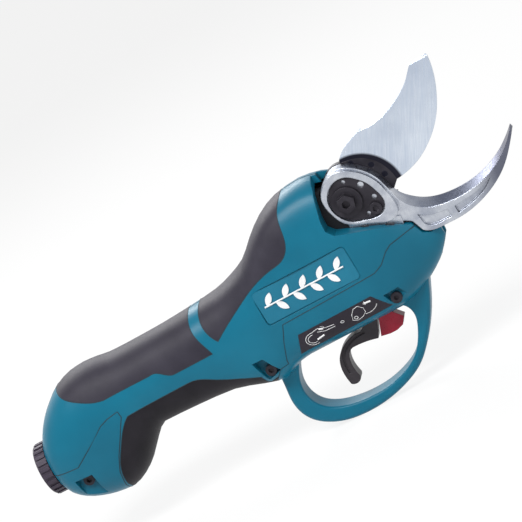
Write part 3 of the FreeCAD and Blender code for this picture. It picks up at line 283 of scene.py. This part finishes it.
brushTurn = (0.0, math.radians(-61.0), 0.0)  # the blade's brushed grain rises 61 degrees from +X
finishLooks = {
    "casing": dict(dark=(0.001, 0.108, 0.178), light=(0.002, 0.138, 0.222), patchScale=25.0,
                   grainScale=1500.0, roughness=(0.30, 0.40), bump=0.12, specular=0.22, edge=0.0007),
    "grip_rubber": dict(dark=(0.020, 0.018, 0.028), light=(0.032, 0.029, 0.042), patchScale=60.0,
                        grainScale=2200.0, roughness=(0.45, 0.6), bump=0.3, specular=0.2, edge=0.0007),
    "lower_rubber": dict(dark=(0.009, 0.008, 0.011), light=(0.017, 0.015, 0.020), patchScale=60.0,
                         grainScale=2200.0, roughness=(0.45, 0.6), bump=0.3, specular=0.16, edge=0.0007),
    "label": dict(dark=(0.020, 0.016, 0.024), light=(0.028, 0.023, 0.033), grainScale=3000.0,
                  roughness=(0.38, 0.5), bump=0.08, specular=0.2),
    "plate": dict(dark=(0.006, 0.125, 0.205), light=(0.010, 0.158, 0.250), grainScale=1800.0,
                  roughness=(0.3, 0.42), bump=0.1, specular=0.25),
    "black_steel": dict(dark=(0.018, 0.016, 0.022), light=(0.040, 0.037, 0.046), patchScale=120.0,
                        grainScale=1600.0, roughness=(0.28, 0.45), metallic=0.5, specular=0.3, bump=0.2,
                        edge=0.0005),
    "forged_steel": dict(dark=(0.34, 0.37, 0.44), light=(0.62, 0.65, 0.70), patchScale=110.0,
                         grainScale=700.0, roughness=(0.22, 0.38), metallic=1.0, bump=0.22, edge=0.0007,
                         streak=(0.36, 0.38, 0.45), streakShare=0.3,
                         # painted dark reflection: the hook's tilted bevel faces are darkened in the colour
                         slope=dict(colour=(0.045, 0.055, 0.095), start=0.016, end=0.042, share=0.9,
                                    tilted=0.82, flat=0.97),
                         # painted dark reflection: the colour darkens towards the hook's tip
                         tip=dict(colour=(0.075, 0.08, 0.12), start=0.058, end=0.074, share=0.85)),
    "blade_steel": dict(dark=(0.50, 0.56, 0.66), light=(0.70, 0.76, 0.84), patchScale=35.0,
                        grainScale=1400.0, stretch=(22.0, 1.0, 1.0), turn=brushTurn, roughness=(0.24, 0.4),
                        metallic=1.0, bump=0.1, streak=(0.42, 0.49, 0.61), streakShare=0.5, edge=0.0003,
                        disc=dict(centre=(0.006, 0.0, -0.004), radius=0.0232, rim=0.0006,
                                  colour=(0.020, 0.020, 0.030))),
    "bare_steel": dict(dark=(0.42, 0.43, 0.45), light=(0.6, 0.61, 0.62), grainScale=1200.0,
                       stretch=(1.0, 8.0, 8.0), roughness=(0.2, 0.35), metallic=1.0, bump=0.1),
    # painted shade: the frame is coloured near black so the well around the hook's ring reads as a shadowed
    # gap
    "frame_aluminium": dict(dark=(0.012, 0.012, 0.014), light=(0.028, 0.028, 0.031), grainScale=900.0,
                            roughness=(0.4, 0.55), metallic=0.4, specular=0.2, bump=0.25),
    "brass": dict(dark=(0.52, 0.35, 0.11), light=(0.70, 0.50, 0.20), grainScale=1500.0,
                  roughness=(0.22, 0.36), metallic=1.0, bump=0.1),
    "copper": dict(dark=(0.50, 0.17, 0.07), light=(0.72, 0.28, 0.13), grainScale=2500.0,
                   stretch=(12.0, 1.0, 1.0), roughness=(0.25, 0.4), metallic=1.0, bump=0.4),
    "magnet": dict(dark=(0.06, 0.06, 0.065), light=(0.10, 0.10, 0.105), grainScale=2500.0,
                   roughness=(0.5, 0.65), metallic=0.3, bump=0.3),
    "inner_plastic": dict(dark=(0.03, 0.03, 0.032), light=(0.05, 0.05, 0.052), grainScale=1800.0,
                          roughness=(0.4, 0.55), bump=0.2),
    "board": dict(dark=(0.005, 0.07, 0.03), light=(0.01, 0.13, 0.055), patchScale=400.0, grainScale=2500.0,
                  roughness=(0.3, 0.45), bump=0.2),
    "trigger_plastic": dict(dark=(0.022, 0.018, 0.023), light=(0.034, 0.028, 0.034), patchScale=90.0,
                            grainScale=2000.0, roughness=(0.32, 0.46), bump=0.2, specular=0.3, edge=0.0009),
    "lock_plastic": dict(dark=(0.22, 0.003, 0.018), light=(0.34, 0.006, 0.028), patchScale=90.0,
                         grainScale=1800.0, roughness=(0.25, 0.38), bump=0.15, specular=0.3, edge=0.0006),
    "socket_plastic": dict(dark=(0.016, 0.014, 0.018), light=(0.028, 0.025, 0.031), grainScale=1800.0,
                           roughness=(0.4, 0.55), bump=0.2),
    "ring_plastic": dict(dark=(0.036, 0.028, 0.044), light=(0.056, 0.044, 0.066), patchScale=80.0,
                         grainScale=1800.0, roughness=(0.38, 0.52), bump=0.2, specular=0.25, edge=0.0005),
    "wire": dict(dark=(0.02, 0.02, 0.02), light=(0.06, 0.055, 0.055), grainScale=1500.0,
                 roughness=(0.4, 0.55), bump=0.15),
}
finishes = {slot: makeFinish(slot, look) for slot, look in finishLooks.items()}
# painted shade: the dark teal of the seam beads stands for the shadow in the gaps between casing pieces
seamShade = makeFinish("seamShade", dict(dark=(0.002, 0.014, 0.022), light=(0.004, 0.024, 0.034),
                                         grainScale=1200.0, roughness=(0.6, 0.75)))
markWhite = makeFinish("markWhite", dict(dark=(0.70, 0.70, 0.71), light=(0.80, 0.80, 0.81),
                                         grainScale=1800.0, roughness=(0.35, 0.5), bump=0.1))

for node, piece in frame["nodes"].items():
    piece.data.materials.clear()
    piece.data.materials.append(finishes[slotOfNode[node]])
print("finishes assigned to", len(frame["nodes"]), "nodes")


# smooth-shaded shells, pads and metal parts that stand for their CAD nodes
weldLook = dict(gap=0.002 * mm, smallest=0.001 * mm)


def mergedMesh(node, name):  # the node's own mesh with its doubled corners joined
    bm = bmesh.new()
    bm.from_mesh(frame["nodes"][node].data)
    bmesh.ops.remove_doubles(bm, verts=bm.verts, dist=weldLook["gap"])
    bmesh.ops.dissolve_degenerate(bm, dist=weldLook["smallest"], edges=bm.edges)
    mesh = bpy.data.meshes.new(name)
    bm.to_mesh(mesh)
    bm.free()
    for attribute in ("custom_normal", "sharp_face"):
        if attribute in mesh.attributes:
            mesh.attributes.remove(mesh.attributes[attribute])
    return mesh


def finishPiece(piece, node, replace=True):
    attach(piece, bodyOfNode[node])
    if replace:
        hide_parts(node)


def refine(node, look):
    name = "".join(word.capitalize() if i else word for i, word in enumerate(node.split("_")))
    mesh = mergedMesh(node, name)
    mesh.shade_smooth()
    mesh.set_sharp_from_angle(angle=math.radians(look["crease"]))
    mesh.materials.clear()
    mesh.materials.append(finishes[slotOfNode[node]])
    piece = bpy.data.objects.new(name, mesh)
    scene.collection.objects.link(piece)
    finishPiece(piece, node)
    return piece


refineLooks = {
    "housing_right": dict(crease=24.0),
    "housing_left": dict(crease=24.0),
    "guard_housing": dict(crease=24.0),
    "rear_cap": dict(crease=24.0),
    "rear_top_grip": dict(crease=35.0),
    "front_top_grip": dict(crease=35.0),
    "lower_grip": dict(crease=35.0),
    "hook_blade": dict(crease=22.0),
    "cutting_blade": dict(crease=8.0),
    "trigger": dict(crease=30.0),
    "trigger_lock": dict(crease=18.0),
    "label_right": dict(crease=30.0),
    "label_left": dict(crease=30.0),
}
refined = {node: refine(node, look) for node, look in refineLooks.items()}
print("refined", len(refined), "outer pieces")


# geometry node trees: each grows its piece from a host mesh
def newTree(name, inputs):
    tree = bpy.data.node_groups.new(name, "GeometryNodeTree")
    tree.interface.new_socket("Geometry", in_out="INPUT", socket_type="NodeSocketGeometry")
    for label, kind, value in inputs:
        socket = tree.interface.new_socket(label, in_out="INPUT", socket_type=kind)
        if value is not None:
            socket.default_value = value
    tree.interface.new_socket("Geometry", in_out="OUTPUT", socket_type="NodeSocketGeometry")
    return tree, tree.nodes.new("NodeGroupInput"), tree.nodes.new("NodeGroupOutput")


def closeTree(tree, start, end, geometry):
    realize = tree.nodes.new("GeometryNodeRealizeInstances")
    paint = tree.nodes.new("GeometryNodeSetMaterial")
    tree.links.new(geometry, realize.inputs["Geometry"])
    tree.links.new(realize.outputs["Geometry"], paint.inputs["Geometry"])
    tree.links.new(start.outputs["Material"], paint.inputs["Material"])
    tree.links.new(paint.outputs["Geometry"], end.inputs["Geometry"])
    return tree


def beadTree():  # a round bead along every edge of the host
    tree, start, end = newTree("beadAlongEdges", [("Width", "NodeSocketFloat", 0.5 * mm),
                                                  ("Sides", "NodeSocketInt", 6),
                                                  ("Material", "NodeSocketMaterial", None)])
    path = tree.nodes.new("GeometryNodeMeshToCurve")
    profile = tree.nodes.new("GeometryNodeCurvePrimitiveCircle")
    sweep = tree.nodes.new("GeometryNodeCurveToMesh")
    sweep.inputs["Fill Caps"].default_value = True
    tree.links.new(start.outputs["Geometry"], path.inputs["Mesh"])
    tree.links.new(addMath(tree, "MULTIPLY", start.outputs["Width"], 0.5), profile.inputs["Radius"])
    tree.links.new(start.outputs["Sides"], profile.inputs["Resolution"])
    tree.links.new(path.outputs["Curve"], sweep.inputs["Curve"])
    tree.links.new(profile.outputs["Curve"], sweep.inputs["Profile Curve"])
    return closeTree(tree, start, end, sweep.outputs["Mesh"])


def leafRowTree():  # the host leaf, set along a straight stem and tilted to either side in turn
    tree, start, end = newTree("leavesOnStem", [("Count", "NodeSocketInt", 8),
                                                ("Spacing", "NodeSocketFloat", 5.0 * mm),
                                                ("Tilt", "NodeSocketFloat", 0.9),
                                                ("Material", "NodeSocketMaterial", None)])
    step = tree.nodes.new("ShaderNodeCombineXYZ")
    row = tree.nodes.new("GeometryNodeMeshLine")
    index = tree.nodes.new("GeometryNodeInputIndex")
    odd = addMath(tree, "MODULO", index.outputs["Index"], 2.0)
    side = spread(tree, odd, -1.0, 1.0, 0.0, 1.0)
    turn = tree.nodes.new("ShaderNodeCombineXYZ")
    place = tree.nodes.new("GeometryNodeInstanceOnPoints")
    tree.links.new(start.outputs["Spacing"], step.inputs["X"])
    tree.links.new(start.outputs["Count"], row.inputs["Count"])
    tree.links.new(step.outputs["Vector"], row.inputs["Offset"])
    tree.links.new(addMath(tree, "MULTIPLY", side, start.outputs["Tilt"]), turn.inputs["Y"])
    tree.links.new(row.outputs["Mesh"], place.inputs["Points"])
    tree.links.new(start.outputs["Geometry"], place.inputs["Instance"])
    tree.links.new(turn.outputs["Vector"], place.inputs["Rotation"])
    return closeTree(tree, start, end, place.outputs["Instances"])


beads = beadTree()
leafRow = leafRowTree()


def growMesh(name, hostMesh, tree, values):  # the tree's result as a plain mesh; the host goes
    host = bpy.data.objects.new(name + "Host", hostMesh)
    scene.collection.objects.link(host)
    modifier = host.modifiers.new("grow", "NODES")
    modifier.node_group = tree
    sockets = {item.name: item.identifier for item in tree.interface.items_tree if item.in_out == "INPUT"}
    for label, value in values.items():
        modifier[sockets[label]] = value
    mesh = bpy.data.meshes.new_from_object(host.evaluated_get(bpy.context.evaluated_depsgraph_get()))
    mesh.name = name
    bpy.data.objects.remove(host)
    return mesh


def addPiece(name, mesh, node):  # a piece that lies on a node's surface and moves with it
    piece = bpy.data.objects.new(name, mesh)
    scene.collection.objects.link(piece)
    finishPiece(piece, node, replace=False)


def linesMesh(name, lines):
    points = [point for line in lines for point in line]
    edges, first = [], 0
    for line in lines:
        edges += [(first + i, first + i + 1) for i in range(len(line) - 1)]
        first += len(line)
    mesh = bpy.data.meshes.new(name)
    mesh.from_pydata(points, edges, [])
    return mesh


# seam lines where two casing pieces meet, dark sunk beads of painted shade in the gaps: spine is the height
# that the casing bulges out from
seamLook = dict(width=0.55 * mm, sink=0.13 * mm, sides=6, crease=32.0, touch=0.12 * mm, reach=30.0 * mm,
                lift=0.3 * mm, weld=0.05 * mm, spine=-40.0 * mm)
seamPairs = {
    "rear_cap": ("housing_right", "housing_left"),
    "guard_housing": ("housing_right", "housing_left"),
    "rear_top_grip": ("housing_right", "housing_left", "rear_cap"),
    "front_top_grip": ("housing_right", "housing_left"),
    "lower_grip": ("housing_right", "housing_left", "rear_cap", "guard_housing"),
    "housing_left": ("housing_right",),
}


def skinOf(nodes):
    points, faces = [], []
    for node in nodes:
        mesh = refined[node].data
        first = len(points)
        points += [vertex.co.copy() for vertex in mesh.vertices]
        faces += [[first + i for i in polygon.vertices] for polygon in mesh.polygons]
    return BVHTree.FromPolygons(points, faces)


outerSkin = skinOf(["housing_right", "housing_left", "guard_housing", "rear_cap", "rear_top_grip",
                    "front_top_grip", "lower_grip"])


def insideBox(point):  # keeps the bead's full width within the object's own box
    half = seamLook["width"] / 2
    return Vector([min(max(point[i], cadBounds[0][i] + half), cadBounds[1][i] - half) for i in range(3)])


def seamEdges(node, neighbours):  # sharp edges on the outside that lie against a neighbour
    touching = skinOf(neighbours)
    bm = bmesh.new()
    bm.from_mesh(refined[node].data)
    lines = []
    for edge in bm.edges:
        if len(edge.link_faces) != 2 or edge.calc_face_angle(0.0) < math.radians(seamLook["crease"]):
            continue
        middle = (edge.verts[0].co + edge.verts[1].co) / 2
        radial = Vector((0.0, middle.y, middle.z - seamLook["spine"])).normalized()
        outward = max((face.normal for face in edge.link_faces), key=radial.dot)
        nearest = touching.find_nearest(middle)
        if nearest[0] is None or nearest[3] > seamLook["touch"]:
            continue
        if outerSkin.ray_cast(middle + outward * seamLook["lift"], outward, seamLook["reach"])[0] is not None:
            continue
        lines.append([insideBox(vertex.co - outward * seamLook["sink"]) for vertex in edge.verts])
    bm.free()
    return lines


def weldedLines(name, lines):
    mesh = linesMesh(name, lines)
    bm = bmesh.new()
    bm.from_mesh(mesh)
    bmesh.ops.remove_doubles(bm, verts=bm.verts, dist=seamLook["weld"])
    bm.to_mesh(mesh)
    bm.free()
    return mesh


for node, neighbours in seamPairs.items():
    host = weldedLines(node + "SeamHost", seamEdges(node, neighbours))
    values = {"Width": seamLook["width"], "Sides": seamLook["sides"], "Material": seamShade}
    seamMesh = growMesh(refined[node].name + "Seam", host, beads, values)
    if seamMesh.polygons:
        addPiece(seamMesh.name, seamMesh, node)
print("seam lines laid")


# line marks on the two labels
markLook = dict(line=0.42 * mm, bar=1.1 * mm, sink=0.12 * mm, sides=6, arcSteps=14, castFrom=60.0 * mm)


def arc(centreX, centreZ, radius, first, last, flatten=1.0):  # from one angle to another, in degrees
    points = []
    for i in range(markLook["arcSteps"] + 1):
        angle = math.radians(first + (last - first) * i / markLook["arcSteps"])
        points.append((centreX + radius * math.cos(angle), centreZ + radius * flatten * math.sin(angle)))
    return points


def labelMarks():  # in millimetres from the label's lower rear corner
    lines = [
        arc(10.5, 4.6, 4.4, 75, 285, flatten=0.85),
        arc(10.5, 4.6, 3.1, 80, 280, flatten=0.8),
        [(11.6, 8.4), (15.0, 8.9), (19.0, 7.2), (23.6, 6.6)],
        [(14.0, 7.2), (18.0, 5.6), (23.6, 5.4)],
        arc(28.0, 5.6, 0.9, 0, 360, flatten=0.7),
        [(33.0, 3.4), (34.0, 6.4), (36.4, 9.0), (39.0, 9.4), (41.2, 7.0), (41.0, 4.4), (38.4, 2.6),
         (35.2, 2.0), (33.0, 3.4)],
        arc(35.2, 3.9, 0.9, 0, 360),
        arc(42.6, 8.2, 6.6, 250, 330, flatten=0.8),
    ]
    bars = [
        [(11.8, 3.2), (16.2, 3.9)],
        [(15.4, 8.3), (17.6, 7.4)],
        [(42.8, 9.0), (46.4, 8.6)],
    ]
    arrows = [[(43.6, 9.9), (42.2, 9.1), (43.4, 8.1)], [(16.9, 9.3), (18.4, 8.0), (16.4, 7.2)]]
    return lines + arrows, bars


def layOnLabel(points, node, side):  # casts each point sideways on to the label's own surface
    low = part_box(node)[0]
    skin = skinOf([node])
    far = markLook["castFrom"]
    laid = []
    for x, z in points:
        start = Vector((low.x + x * mm, side * far, low.z + z * mm))
        hit = skin.ray_cast(start, Vector((0.0, -side, 0.0)), far)[0]
        if hit is not None:
            laid.append(hit - Vector((0.0, side * markLook["sink"], 0.0)))
    return laid


for node, side in (("label_right", -1.0), ("label_left", 1.0)):
    lines, bars = labelMarks()
    for kind, shapes, width in (("Lines", lines, markLook["line"]), ("Bars", bars, markLook["bar"])):
        laid = [line for line in (layOnLabel(shape, node, side) for shape in shapes) if len(line) > 1]
        name = refined[node].name + kind
        values = {"Width": width, "Sides": markLook["sides"], "Material": markWhite}
        addPiece(name, growMesh(name, linesMesh(node + kind, laid), beads, values), node)
print("label marks laid")


# leaf ornament on the two badges
leafLook = dict(length=7.6 * mm, width=3.4 * mm, thickness=0.5 * mm, fullness=0.8, steps=8, count=9,
                tilt=0.92, firstLeaf=4.5 * mm, margins=14.0 * mm)
stemLook = dict(width=0.9 * mm, sides=8, rearGap=3.0 * mm, frontGap=5.0 * mm)


def leafMesh():  # a flat pointed leaf along +X, standing from y = 0 to its thickness
    steps = leafLook["steps"]
    outline = [(0.0, 0.0)]
    for i in range(1, steps):
        bulge = math.sin(math.pi * i / steps) ** leafLook["fullness"]
        outline.append((i / steps * leafLook["length"], leafLook["width"] / 2 * bulge))
    outline.append((leafLook["length"], 0.0))
    outline += [(x, -z) for x, z in reversed(outline[1:-1])]
    count = len(outline)
    points = [(x, 0.0, z) for x, z in outline] + [(x, leafLook["thickness"], z) for x, z in outline]
    faces = [tuple(range(count)), tuple(range(2 * count - 1, count - 1, -1))]
    faces += [(i, i + count, (i + 1) % count + count, (i + 1) % count) for i in range(count)]
    mesh = bpy.data.meshes.new("leaf")
    mesh.from_pydata(points, [], faces)
    bm = bmesh.new()
    bm.from_mesh(mesh)
    bmesh.ops.recalc_face_normals(bm, faces=bm.faces)
    bm.to_mesh(mesh)
    bm.free()
    return mesh


for node, side in (("name_plate_right", "Right"), ("name_plate_left", "Left")):
    low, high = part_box(node)
    face = low.y - leafLook["thickness"] if side == "Right" else high.y
    middle = (low.z + high.z) / 2
    spacing = (high.x - low.x - leafLook["margins"]) / (leafLook["count"] - 1)
    values = {"Count": leafLook["count"], "Spacing": spacing, "Tilt": leafLook["tilt"], "Material": markWhite}
    leaves = growMesh("leaves" + side, leafMesh(), leafRow, values)
    leaves.transform(Matrix.Translation((low.x + leafLook["firstLeaf"], face, middle)))
    addPiece(leaves.name, leaves, node)
    stemY = face + leafLook["thickness"] / 2
    host = linesMesh(node + "Stem", [[(low.x + stemLook["rearGap"], stemY, middle),
                                      (high.x - stemLook["frontGap"], stemY, middle)]])
    values = {"Width": stemLook["width"], "Sides": stemLook["sides"], "Material": markWhite}
    stem = growMesh("stem" + side, host, beads, values)
    addPiece(stem.name, stem, node)
print("badge ornaments set")
